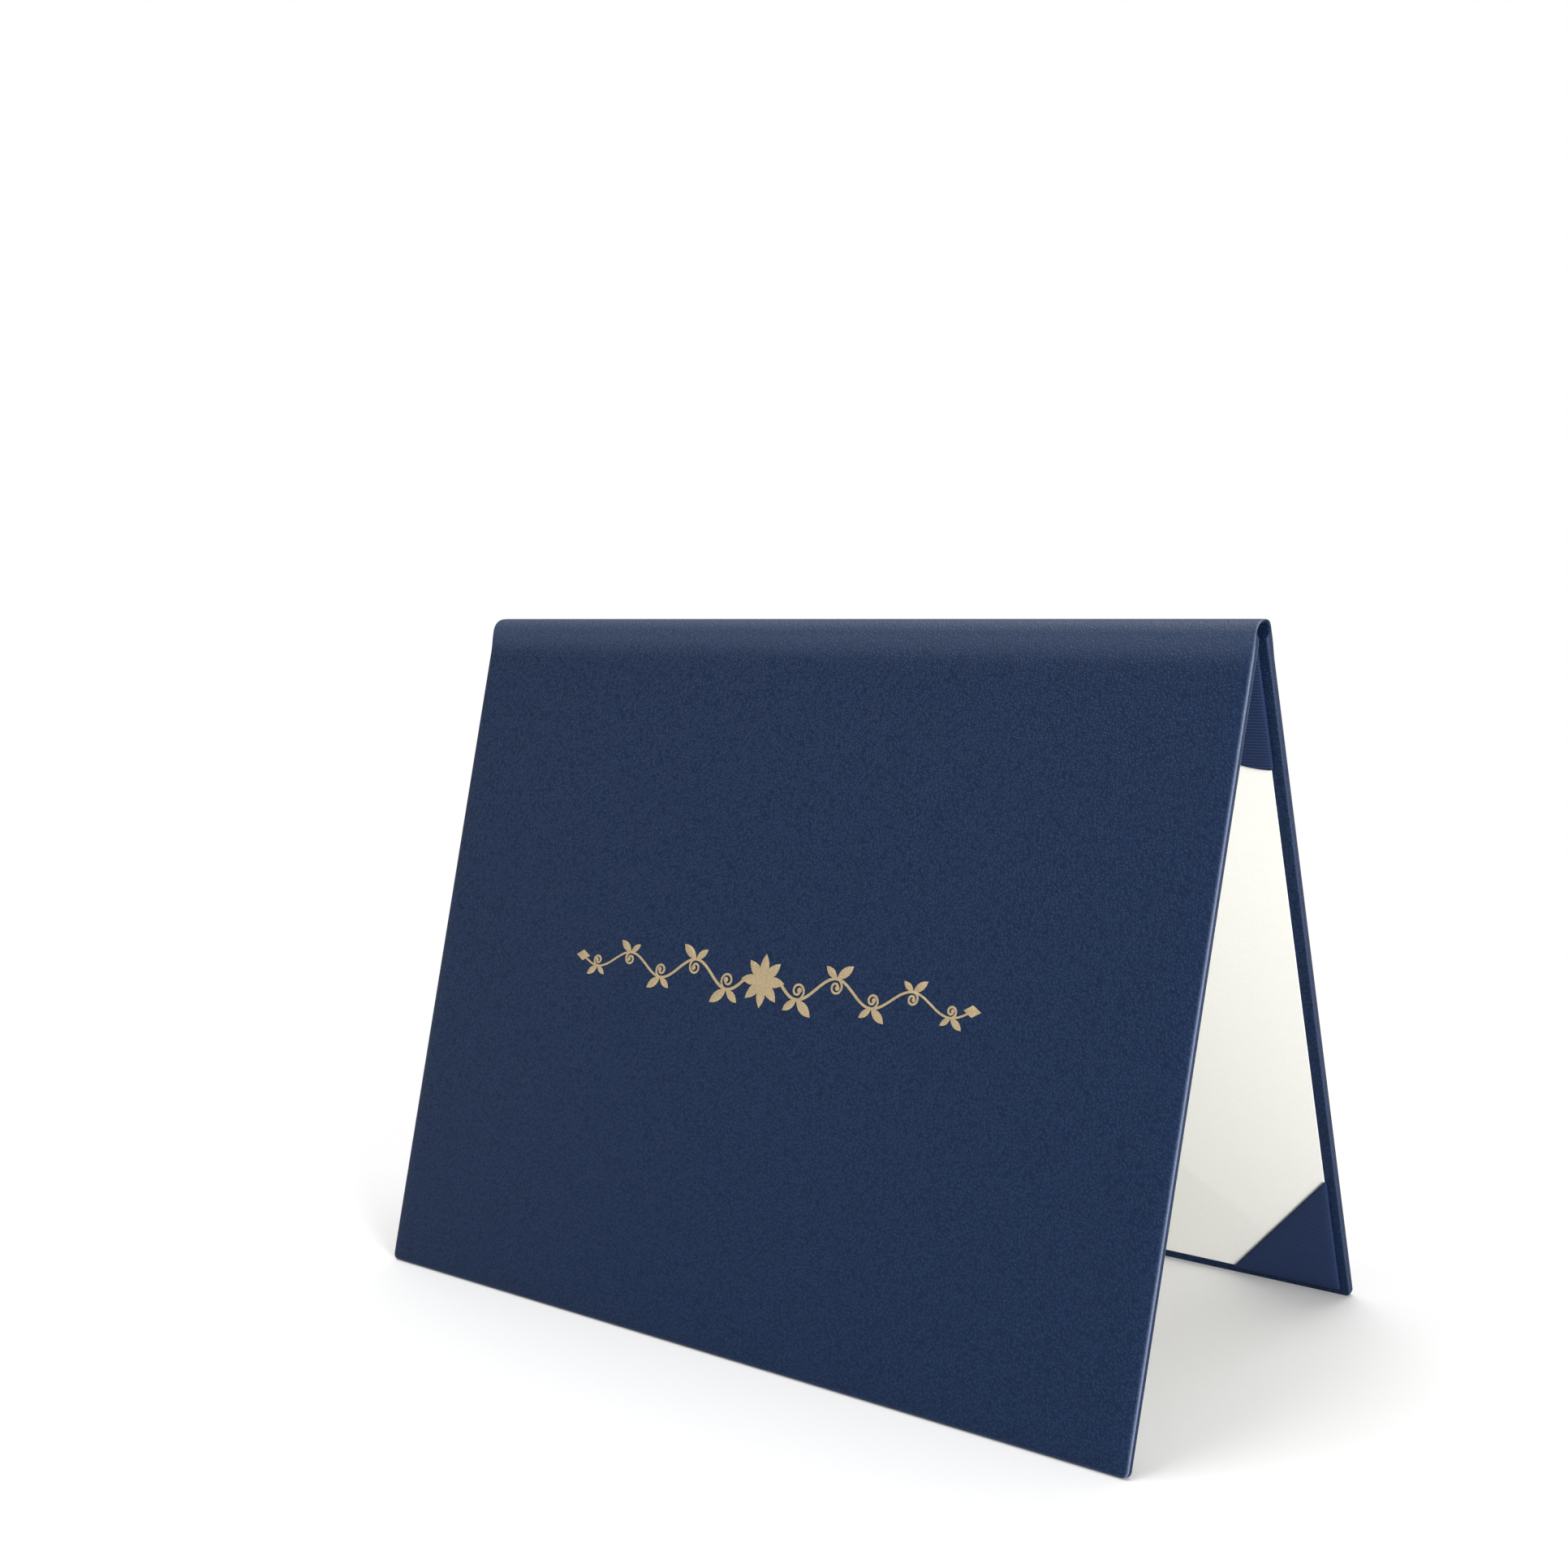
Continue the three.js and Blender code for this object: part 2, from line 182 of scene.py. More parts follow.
# Fibrous finishes, as roughness, fineness of the fibres and depth of their bumps
CARD_FIBRES = (0.72, 1500, 0.02 * MM)
BOARD_FIBRES = (0.95, 900, 0.05 * MM)
FOAM_FIBRES = (0.95, 1200, 0.1 * MM)

MERGE_DISTANCE = 0.002 * MM
SMOOTH_ANGLE = math.radians(40)


# Small helpers


def smooth_step(value, start, end):
    """0 before start, 1 after end, and an easy slope between them."""
    share = min(max((value - start) / (end - start), 0), 1)
    return share * share * (3 - 2 * share)


def mix(a, b, share):
    return a + (b - a) * share


def deselect_all():
    if bpy.context.object and bpy.context.object.mode != "OBJECT":
        bpy.ops.object.mode_set(mode="OBJECT")
    bpy.ops.object.select_all(action="DESELECT")


def make_active(obj):
    deselect_all()
    obj.select_set(True)
    bpy.context.view_layer.objects.active = obj


def edit(obj, select_mode="VERT"):
    """Enters edit mode on one object, with nothing selected."""
    make_active(obj)
    bpy.ops.object.mode_set(mode="EDIT")
    bpy.ops.mesh.select_mode(type=select_mode)
    bpy.ops.mesh.select_all(action="DESELECT")


def leave_edit():
    bpy.ops.object.mode_set(mode="OBJECT")


def select_vertices(obj, test):
    """Selects, in object mode, the vertices that pass the test, and nothing else."""
    mesh = obj.data
    for polygon in mesh.polygons:
        polygon.select = False
    for edge in mesh.edges:
        edge.select = False
    for vertex in mesh.vertices:
        vertex.select = test(vertex)


def select_between(obj, chosen):
    """Selects the chosen vertices, given as one True or False each, and the edges between them."""
    select_vertices(obj, lambda vertex: chosen[vertex.index])
    for edge in obj.data.edges:
        edge.select = all(chosen[i] for i in edge.vertices)


def extrude_selected_edges(obj):
    make_active(obj)
    bpy.ops.object.mode_set(mode="EDIT")
    bpy.ops.mesh.select_mode(type="EDGE")
    bpy.ops.mesh.extrude_edges_move()
    leave_edit()


def apply_modifier(obj, kind, **settings):
    make_active(obj)
    modifier = obj.modifiers.new(kind.title(), kind)
    for key, value in settings.items():
        setattr(modifier, key, value)
    bpy.ops.object.modifier_apply(modifier=modifier.name)


def shade(obj, angle=SMOOTH_ANGLE):
    make_active(obj)
    bpy.ops.object.shade_smooth_by_angle(angle=angle)


def grid(name, columns, rows):
    """Grid of vertices at the given columns (x) and rows (y)."""
    deselect_all()
    bpy.ops.mesh.primitive_grid_add(
        x_subdivisions=len(columns) - 1, y_subdivisions=len(rows) - 1, size=2, location=(0, 0, 0)
    )
    obj = bpy.context.object
    obj.name = obj.data.name = name
    for vertex in obj.data.vertices:
        column = round((vertex.co.x + 1) / 2 * (len(columns) - 1))
        row = round((vertex.co.y + 1) / 2 * (len(rows) - 1))
        vertex.co = (columns[column], rows[row], 0)
    return obj


def even(start, end, step):
    """Even places from start up to, but without, end."""
    count = max(round(abs(end - start) / step), 1)
    return [mix(start, end, i / count) for i in range(count)]


def face_outwards(obj, outwards):
    """Turns the faces of an open sheet so that the one nearest its middle looks outwards."""
    edit(obj)
    bpy.ops.mesh.select_all(action="SELECT")
    bpy.ops.mesh.remove_doubles(threshold=MERGE_DISTANCE)
    bpy.ops.mesh.normals_make_consistent(inside=False)
    leave_edit()
    middle = sum((v.co for v in obj.data.vertices), Vector()) / len(obj.data.vertices)
    middle.z = min(v.co.z for v in obj.data.vertices)
    nearest = min(obj.data.polygons, key=lambda p: (p.center - middle).length)
    if nearest.normal.dot(outwards) < 0:
        edit(obj)
        bpy.ops.mesh.select_all(action="SELECT")
        bpy.ops.mesh.flip_normals()
        leave_edit()


def roll_up(obj, turned=False):
    """Takes a layer from the workbench to the front cover and half of the spine, or turned to the rear ones."""
    for vertex in obj.data.vertices:
        x, along, depth = vertex.co
        if along >= 0:
            place = COVER_END + DOWN * along + INWARD * depth
        else:
            angle = LEAN - along / SPINE_RADIUS
            towards = Vector((0, math.cos(angle), -math.sin(angle)))
            shoulder = REAR_SHOULDER * math.sin(math.pi * along / HALF_ARC) ** 2 if turned else 0
            place = SPINE_CENTRE - towards * (SPINE_RADIUS + shoulder - depth)
        place.x = x
        place.z = max(place.z, 0)
        if turned:
            place.x, place.y = -place.x, -place.y
        vertex.co = place
    obj.data.update()


def blend_over_fold(obj):
    """Bakes the layer's placement into its mesh."""
    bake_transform(obj)


def own_copy(obj, name):
    copy = obj.copy()
    copy.data = obj.data.copy()
    copy.name = copy.data.name = name
    bpy.context.collection.objects.link(copy)
    return copy


def give_material(obj, material):
    obj.data.materials.clear()
    obj.data.materials.append(material)


# Shader node helpers and groups


def add_node(tree, kind, settings=(), **inputs):
    """New node, its settings set and its inputs set or linked.

    An input goes by its name, with underscores for blanks, or by i and its place.
    """
    node = tree.nodes.new(kind)
    for key, value in dict(settings).items():
        setattr(node, key, value)
    for key, value in inputs.items():
        by_place = key[0] == "i" and key[1:].isdigit()
        socket = node.inputs[int(key[1:]) if by_place else key.replace("_", " ")]
        if isinstance(value, bpy.types.NodeSocket):
            tree.links.new(value, socket)
        else:
            socket.default_value = value
    return node


def calculate(tree, operation, first, second=0.0):
    return add_node(tree, "ShaderNodeMath", {"operation": operation}, i0=first, i1=second).outputs[0]


def new_group(name, inputs, outputs):
    tree = bpy.data.node_groups.new(name, "ShaderNodeTree")
    for label, kind, default in inputs:
        socket = tree.interface.new_socket(name=label, in_out="INPUT", socket_type=kind)
        if default is not None:
            socket.default_value = default
    for label, kind in outputs:
        tree.interface.new_socket(name=label, in_out="OUTPUT", socket_type=kind)
    start = tree.nodes.new("NodeGroupInput")
    end = tree.nodes.new("NodeGroupOutput")
    return tree, start.outputs, end.inputs


def grain_group():
    """Fine leatherette grain: slanting pebbles with grooves between them. Height is 1 on a pebble."""
    inputs = [
        ("Flat place", "NodeSocketVector", None),
        ("Pebble size", "NodeSocketFloat", 1.0 * MM),
        ("Slant", "NodeSocketFloat", math.radians(45)),
    ]
    outputs = [("Height", "NodeSocketFloat"), ("Mottle", "NodeSocketFloat")]
    tree, given, result = new_group("Leatherette grain", inputs, outputs)
    turn = add_node(tree, "ShaderNodeCombineXYZ", Z=given["Slant"]).outputs[0]
    place = given["Flat place"]
    turned = add_node(
        tree, "ShaderNodeVectorRotate", {"rotation_type": "EULER_XYZ"}, Vector=place, Rotation=turn
    ).outputs[0]
    stretched = add_node(
        tree, "ShaderNodeVectorMath", {"operation": "MULTIPLY"}, i0=turned, i1=PEBBLE_SHAPE
    ).outputs[0]
    frequency = calculate(tree, "DIVIDE", 1.0, given["Pebble size"])
    pebbles = add_node(
        tree, "ShaderNodeTexVoronoi", {"feature": "DISTANCE_TO_EDGE"}, Vector=stretched, Scale=frequency
    ).outputs[0]
    height = add_node(
        tree, "ShaderNodeMapRange", {"interpolation_type": "SMOOTHSTEP"}, Value=pebbles, From_Max=GROOVE_SHARE
    )
    tree.links.new(height.outputs[0], result["Height"])
    mottle = add_node(tree, "ShaderNodeTexNoise", Vector=place, Scale=MOTTLE_SCALE, Detail=3.0)
    tree.links.new(mottle.outputs[0], result["Mottle"])
    return tree


def rib_group():
    """Ribbed cloth: round ribs crossed by finer threads."""
    inputs = [("Flat place", "NodeSocketVector", None), ("Rib spacing", "NodeSocketFloat", 0.9 * MM)]
    tree, given, result = new_group("Ribbed cloth", inputs, [("Height", "NodeSocketFloat")])
    parts = add_node(tree, "ShaderNodeSeparateXYZ", Vector=given["Flat place"]).outputs
    turn = calculate(tree, "DIVIDE", 2 * math.pi, given["Rib spacing"])
    ribs = calculate(tree, "SINE", calculate(tree, "MULTIPLY", parts["Y"], turn))
    finer = calculate(tree, "MULTIPLY", turn, THREADS_PER_RIB)
    threads = calculate(tree, "SINE", calculate(tree, "MULTIPLY", parts["X"], finer))
    crossed = calculate(tree, "MULTIPLY_ADD", threads, THREAD_SHARE)
    tree.links.new(ribs, crossed.node.inputs[2])
    tree.links.new(crossed, result["Height"])
    return tree


def material_with_shader(name):
    material = bpy.data.materials.new(name)
    material.use_nodes = True
    tree = material.node_tree
    return material, tree, tree.nodes["Principled BSDF"]


def group_node(tree, name, place):
    return add_node(tree, "ShaderNodeGroup", {"node_tree": bpy.data.node_groups[name]}, Flat_place=place)


def tinted(tree, color, share, tint):
    """The colour, times the first of tint where share is 0 and times the second where it is 1."""
    value = add_node(tree, "ShaderNodeMapRange", Value=share, To_Min=tint[0], To_Max=tint[1]).outputs[0]
    return add_node(
        tree, "ShaderNodeVectorMath", {"operation": "SCALE"}, i0=tuple(color), Scale=value
    ).outputs[0]


def set_shader(shader, values):
    for name, value in values.items():
        shader.inputs[name].default_value = value


def put_color(tree, shader, color):
    tree.links.new(color, shader.inputs["Base Color"])


def put_bump(tree, shader, height, distance, strength):
    bump = add_node(tree, "ShaderNodeBump", Height=height, Distance=distance, Strength=strength)
    tree.links.new(bump.outputs[0], shader.inputs["Normal"])


def flat_place(tree):
    return add_node(tree, "ShaderNodeAttribute", {"attribute_name": "flat_place"}).outputs["Vector"]


def object_place(tree):
    return add_node(tree, "ShaderNodeTexCoord").outputs["Object"]


def leatherette(settings):
    material, tree, shader = material_with_shader("navy leatherette")
    group = group_node(tree, "Leatherette grain", flat_place(tree))
    group.inputs["Pebble size"].default_value = settings.pebble_size
    group.inputs["Slant"].default_value = settings.grain_slant
    grained = tinted(tree, settings.leather_color, group.outputs["Height"], GRAIN_TINT)
    # Pale fold colour mixed in: faint rubbed wear, a painted highlight on the side at +X and a painted sheen
    # along the ridge
    wear_and_highlight_factor = add_node(tree, "ShaderNodeAttribute", {"attribute_name": "fold_wear_and_painted_highlight"}).outputs["Fac"]
    worn_and_highlighted = add_node(tree, "ShaderNodeMix", {"data_type": "RGBA"}, Factor=wear_and_highlight_factor)
    tree.links.new(grained, worn_and_highlighted.inputs["A"])
    worn_and_highlighted.inputs["B"].default_value = (*settings.fold_wear_and_highlight_color, 1)
    put_color(tree, shader, worn_and_highlighted.outputs["Result"])
    low, high = GRAIN_ROUGHNESS
    roughness = add_node(tree, "ShaderNodeMapRange", Value=group.outputs["Mottle"], To_Min=low, To_Max=high)
    tree.links.new(roughness.outputs[0], shader.inputs["Roughness"])
    set_shader(shader, LEATHER_SHADER)
    put_bump(tree, shader, group.outputs["Height"], *GRAIN_BUMP)
    return material


def pocket_cloth(settings):
    material, tree, shader = material_with_shader("navy pocket cloth")
    group = group_node(tree, "Ribbed cloth", flat_place(tree))
    put_color(tree, shader, tinted(tree, settings.pocket_color, group.outputs["Height"], RIB_TINT))
    set_shader(shader, POCKET_SHADER)
    put_bump(tree, shader, group.outputs["Height"], *RIB_BUMP)
    return material


def mottled(name, color, roughness, scale, depth):
    """Plain fibrous finish, for card and foam."""
    material, tree, shader = material_with_shader(name)
    place = object_place(tree)
    fibres = add_node(tree, "ShaderNodeTexNoise", Vector=place, Scale=scale, Detail=4.0).outputs[0]
    put_color(tree, shader, tinted(tree, color, fibres, FIBRE_TINT))
    shader.inputs["Roughness"].default_value = roughness
    put_bump(tree, shader, fibres, depth, FIBRE_BUMP_STRENGTH)
    return material


def foil(settings):
    material, tree, shader = material_with_shader("pale gold foil")
    group = group_node(tree, "Leatherette grain", object_place(tree))
    group.inputs["Pebble size"].default_value = settings.pebble_size
    put_color(tree, shader, tinted(tree, settings.foil_color, group.outputs["Height"], FOIL_TINT))
    set_shader(shader, FOIL_SHADER)
    put_bump(tree, shader, group.outputs["Height"], *FOIL_BUMP)
    return material


# Soft layers on the workbench


def half_length_at(along):
    return HALF_LENGTH - SPINE_END_MARGIN * (1 - smooth_step(along, 0, SPINE_END_REACH))


def edge_depth_at(along):
    return mix(SPINE_EDGE_DEPTH, CROWN_DEPTH, smooth_step(along, 0, SPINE_BLEND_REACH))


def thickness_at(along):
    return mix(SPINE_EDGE_THICKNESS, COVER_THICKNESS, smooth_step(along, *FOLD_BAND))


def quarter_round(distance, reach):
    """0 at an edge and 1 from reach inwards, along a quarter of an ellipse."""
    inner = 1 - min(max(distance / reach, 0), 1)
    return math.sqrt(1 - inner * inner)


def roll_at(along, settings):
    """Depth by which the padding sinks towards the spine, and comes back up to the ridge."""
    sink = 1 - smooth_step(along, 0, settings.spine_roll_reach)
    back = smooth_step(-along, 0, HALF_ARC)
    return settings.spine_roll_depth * mix(sink, ROLL_LEFT_AT_RIDGE, back)


def crown_at(x, along, settings):
    """Depth of the padded outer face."""
    reach = mix(SPINE_EDGE_REACH, settings.crown_reach, smooth_step(along, 0, SPINE_BLEND_REACH))
    across = quarter_round(half_length_at(along) - abs(x), reach)
    down = quarter_round(COVER_HEIGHT - along, settings.crown_reach)
    ripple = noise.noise(Vector((x, along, 0)) / settings.ripple_spacing) * settings.ripple_depth
    calm = smooth_step(along, 0, CALM_REACH)
    roll = roll_at(along, settings) * across
    return edge_depth_at(along) * (1 - across * down) + ripple * across * down * calm + roll


def round_corner(x, along):
    """Pulls the grid's square foot corners round."""
    side = math.copysign(1, x)
    out = abs(x) - (half_length_at(along) - CORNER_RADIUS)
    down = along - (COVER_HEIGHT - CORNER_RADIUS)
    if out > 0 and down > 0:
        share = max(out, down) / math.hypot(out, down)
        return x - side * out * (1 - share), along - down * (1 - share)
    return x, along


def rim_place(start, inset):
    """Point of the cover's outline, moved inwards by inset. start is where the outline was square."""
    reach = max(CORNER_RADIUS, inset)
    half = half_length_at(start.y) - reach
    x = min(max(start.x, -half), half)
    along = min(start.y, COVER_HEIGHT - reach)
    if inset < CORNER_RADIUS:
        out = Vector((start.x - x, start.y - along))
        if out.length > 0:
            out *= (CORNER_RADIUS - inset) / out.length
            return x + out.x, along + out.y
    return x, along


def edge_wear_and_highlight(x, reach):
    """Paleness of a fold: a strong painted highlight within reach of the side at +X, and faint rubbed wear on
    the others.
    """
    return LIT_SIDE_PAINTED_HIGHLIGHT if HALF_LENGTH - x < reach else OTHER_SIDE_WEAR


def rim_profile(settings):
    """Side, rounded inner edge and turn-in, as (inset, depth) from the edge of the padded face."""
    profile = [(0, depth) for depth in WALL_DEPTHS]
    for step in range(1, INNER_EDGE_STEPS + 1):
        angle = step / INNER_EDGE_STEPS * math.pi / 2
        inset = INNER_RADIUS * (1 - math.cos(angle))
        profile.append((inset, COVER_THICKNESS - INNER_RADIUS * (1 - math.sin(angle))))
    return profile + [(inset, COVER_THICKNESS) for inset in (*TURN_IN_INSETS, settings.turn_in_width)]


def skin_lines(settings):
    """Columns and rows of the skin's grid, close together where the padding rolls down."""
    angles = [math.pi / 2 * step / CROWN_STEPS for step in range(1, CROWN_STEPS + 1)]
    on_crown = {settings.crown_reach * (1 - math.sin(angle)) for angle in angles}
    wanted = sorted(on_crown.union(NEAR_EDGE), reverse=True)
    from_edge = wanted[:1]
    for before, distance in zip(wanted, wanted[1:]):
        if distance < MERGE_DISTANCE or before - distance > LEAST_STEP:
            from_edge.append(distance)
    inner = HALF_LENGTH - settings.crown_reach
    right = [HALF_LENGTH - distance for distance in from_edge]
    columns = [-x for x in reversed(right)] + even(-inner, inner, FACE_STEP) + [inner] + right
    foot = COVER_HEIGHT - settings.crown_reach
    rows = [-HALF_ARC] + even(-HALF_ARC + RIDGE_STEP, 0, ARC_STEP) + even(0, ROLL_ROWS_REACH, ROLL_STEP)
    rows += even(ROLL_ROWS_REACH, foot, FACE_STEP) + [foot]
    rows += [COVER_HEIGHT - distance for distance in from_edge]
    return columns, rows


def lay_out_skin(settings):
    """Leatherette of one cover and half of the spine, flat: padded face, sides and mitred turn-ins."""
    columns, rows = skin_lines(settings)
    skin = grid("front_cover_skin", columns, rows)
    mesh = skin.data
    mesh.attributes.new("outline_place", "FLOAT_VECTOR", "POINT")
    mesh.attributes.new("flat_place", "FLOAT_VECTOR", "POINT")
    mesh.attributes.new("fold_wear_and_painted_highlight", "FLOAT", "POINT")
    start = mesh.attributes["outline_place"]
    flat = mesh.attributes["flat_place"]
    wear_and_highlight = mesh.attributes["fold_wear_and_painted_highlight"]
    for vertex in mesh.vertices:
        x, along = vertex.co.x, vertex.co.y
        start.data[vertex.index].vector = (x, along, 0)
        flat.data[vertex.index].vector = (x, along, 0)
        inset = min(HALF_LENGTH - abs(x), COVER_HEIGHT - along)
        # Faint rubbed wear at the folds, with a painted highlight along the side at +X
        at_edge = edge_wear_and_highlight(x, FOLD_WEAR_AND_HIGHLIGHT_WIDTH) * (1 - smooth_step(inset, 0, FOLD_WEAR_AND_HIGHLIGHT_WIDTH))
        # painted sheen along the band next to the ridge
        at_ridge = RIDGE_PAINTED_SHEEN * (1 - smooth_step(along, 0, RIDGE_PAINTED_SHEEN_REACH))
        wear_and_highlight.data[vertex.index].value = max(at_edge, at_ridge)
        share = half_length_at(along) / HALF_LENGTH
        depth = crown_at(x * share, along, settings)
        x, along = round_corner(x * share, along)
        vertex.co = (x, along, depth)

    # Fold the three free edges down the side and in over the back
    places = [start.data[vertex.index].vector for vertex in mesh.vertices]
    rim = [max(abs(place.x) - HALF_LENGTH, place.y - COVER_HEIGHT) > -MERGE_DISTANCE for place in places]
    select_between(skin, rim)
    drop = COVER_THICKNESS - CROWN_DEPTH
    unfolded, before = 0, (0, CROWN_DEPTH)
    for inset, depth in rim_profile(settings):
        unfolded += math.hypot(inset - before[0], depth - before[1])
        before = (inset, depth)
        extrude_selected_edges(skin)
        starts = mesh.attributes["outline_place"].data
        flats = mesh.attributes["flat_place"].data
        wears_and_highlights = mesh.attributes["fold_wear_and_painted_highlight"].data
        on_inner_edge = 0 < inset < INNER_RADIUS / 2
        for vertex in mesh.vertices:
            if not vertex.select:
                continue
            place = starts[vertex.index].vector
            x, along = rim_place(place, inset)
            edge_depth = edge_depth_at(place.y)
            share = (thickness_at(place.y) - edge_depth) / drop
            vertex.co = (x, along, edge_depth + (depth - CROWN_DEPTH) * share)
            outer = Vector(rim_place(place, 0))
            inner = Vector(rim_place(place, CORNER_RADIUS))
            outwards = (outer - inner).normalized() * unfolded
            flats[vertex.index].vector = (outer.x + outwards.x, outer.y + outwards.y, 0)
            # The inner edge of the side at +X gets a painted reflection, the other inner edges faint rubbed
            # wear
            wears_and_highlights[vertex.index].value = edge_wear_and_highlight(place.x, MERGE_DISTANCE) if on_inner_edge else 0
    face_outwards(skin, Vector((0, 0, -1)))
    apply_modifier(skin, "SOLIDIFY", thickness=SKIN_THICKNESS, offset=-1, use_even_offset=True)
    return skin


def lay_out_lining(settings):
    """Thin leatherette strip inside the spine, down over the board's end and out on the cover."""
    half = HALF_LENGTH - settings.lining_end_margin
    columns = even(-half, half, LINING_COLUMN) + [half]
    on_arc, round_fold, on_cover = LINING_ROWS
    rows = [-HALF_ARC] + even(-HALF_ARC + RIDGE_STEP, LINING_FOLD[0], on_arc) + even(*LINING_FOLD, round_fold)
    rows += even(LINING_FOLD[1], settings.lining_flange, on_cover) + [settings.lining_flange]
    lining = grid("front_spine_lining", columns, rows)
    flat = lining.data.attributes.new("flat_place", "FLOAT_VECTOR", "POINT")
    for vertex in lining.data.vertices:
        flat.data[vertex.index].vector = vertex.co
        vertex.co.z = mix(SPINE_LINING_DEPTH, LINING_DEPTH, smooth_step(vertex.co.y, *LINING_SLOPE))
    face_outwards(lining, Vector((0, 0, 1)))
    apply_modifier(lining, "SOLIDIFY", thickness=LINING_THICKNESS, offset=-1, use_even_offset=True)
    return lining


def lay_out_liner(settings):
    """Pale card panel on the inside of a cover."""
    deselect_all()
    low, high = LINER_DEPTHS
    size = (2 * (HALF_LENGTH - SIDE_BORDER), COVER_HEIGHT - FOOT_BORDER - HINGE_BORDER, high - low)
    middle = (0, (COVER_HEIGHT - FOOT_BORDER + HINGE_BORDER) / 2, (low + high) / 2)
    bpy.ops.mesh.primitive_cube_add(size=1, location=middle, scale=size)
    liner = bpy.context.object
    bpy.ops.object.transform_apply(location=True, rotation=True, scale=True)
    liner.name = liner.data.name = "front_liner_panel"
    edit(liner, "EDGE")
    leave_edit()

    # Round its four corners, which are the edges that run through the card
    for edge in liner.data.edges:
        ends = [liner.data.vertices[i].co for i in edge.vertices]
        edge.select = abs(ends[0].z - ends[1].z) > MERGE_DISTANCE
    bpy.ops.object.mode_set(mode="EDIT")
    bpy.ops.mesh.bevel(offset=settings.liner_corner_radius, segments=4, affect="EDGES")
    leave_edit()
    apply_modifier(liner, "BEVEL", width=settings.liner_edge_softness, segments=2, limit_method="ANGLE")
    return liner


def lay_out_pocket(settings):
    """Corner pocket at the foot: a triangle of cloth, its slanting edge hemmed, its two legs folded down."""
    leg_x, leg_y = settings.pocket_along_spine, settings.pocket_down_cover
    columns = even(0, leg_x, POCKET_COLUMN) + [leg_x]
    rows = even(0, leg_y, POCKET_ROW) + [leg_y]
    pocket = grid("pocket", columns, rows)
    edit(pocket)
    bpy.ops.mesh.select_all(action="SELECT")
    slant = Vector((leg_y, leg_x, 0)).normalized()
    bpy.ops.mesh.bisect(plane_co=(leg_x, 0, 0), plane_no=slant, clear_outer=True)
    bpy.ops.mesh.select_all(action="SELECT")
    bpy.ops.mesh.remove_doubles(threshold=SLANT_MERGE)
    leave_edit()
    top = POCKET_DEPTH - settings.pocket_swell
    for vertex in pocket.data.vertices:
        u, v = vertex.co.x / leg_x, vertex.co.y / leg_y
        taut = TAUT_SHARE * min(u, v, 1 - u - v)
        vertex.co.z = top + settings.pocket_swell * max(taut, 0)
    on_slant = [abs(v.co.x / leg_x + v.co.y / leg_y - 1) < ON_SLANT for v in pocket.data.vertices]
    on_leg_x = [abs(v.co.y) < MERGE_DISTANCE for v in pocket.data.vertices]
    on_leg_y = [abs(v.co.x) < MERGE_DISTANCE for v in pocket.data.vertices]
    fold = POCKET_THICKNESS * FOLD_SHARE
    hem = [(fold * out, top - fold * down) for out, down in HEM_FOLD]
    hem.append((-settings.hem_width, hem[-1][1]))
    leg = [(fold * out, top - fold * down) for out, down in HALF_FOLD]
    leg.append((fold, LINING_DEPTH + LEG_GAP))
    fold_edge(pocket, on_slant, hem, slant, trimmed=True)
    fold_edge(pocket, on_leg_x, leg, Vector((0, -1, 0)))
    fold_edge(pocket, on_leg_y, leg, Vector((-1, 0, 0)))
    return pocket


def fold_edge(pocket, on_edge, path, outwards, trimmed=False):
    """Folds one edge of a pocket's cloth along a path of (distance outwards, depth), trimmed at the legs."""
    mesh = pocket.data
    added = len(mesh.vertices) - len(on_edge)
    select_between(pocket, on_edge + [False] * added)
    before = 0
    for distance, depth in path:
        extrude_selected_edges(pocket)
        for vertex in mesh.vertices:
            if not vertex.select:
                continue
            vertex.co += outwards * (distance - before)
            vertex.co.z = depth
            if trimmed:
                vertex.co.x = max(vertex.co.x, 0)
                vertex.co.y = max(vertex.co.y, 0)
        before = distance


def bow_free_edge(pocket, settings):
    """Lets a pocket's slanting edge sag into a quarter of an ellipse, as the cloth beside the hinge does."""
    for vertex in pocket.data.vertices:
        u = max(vertex.co.x / settings.pocket_along_spine, 0)
        v = max(vertex.co.y / settings.pocket_down_cover, 0)
        if min(u, v) > 0:
            stretch = (u + v) / math.hypot(u, v)
            vertex.co.x *= stretch
            vertex.co.y *= stretch
        vertex.co.y *= settings.hinge_pocket_share


def finish_pocket(pocket):
    """Gives a pocket's cloth its flat places and its thickness. Returns the cloth's flat area."""
    face_outwards(pocket, Vector((0, 0, 1)))
    mesh = pocket.data
    flat = mesh.attributes.new("flat_place", "FLOAT_VECTOR", "POINT")
    for vertex in mesh.vertices:
        flat.data[vertex.index].vector = vertex.co
    area = sum(p.area for p in mesh.polygons)
    apply_modifier(pocket, "SOLIDIFY", thickness=POCKET_THICKNESS * CLOTH_SHARE, offset=0)
    return area


# Settings


def length(label, text, default):
    return bpy.props.FloatProperty(
        name=label, description=text, default=default, unit="LENGTH", subtype="DISTANCE", precision=5
    )


def color(label, text, default):
    return bpy.props.FloatVectorProperty(
        name=label, description=text, default=default, size=3, min=0, max=1, subtype="COLOR"
    )


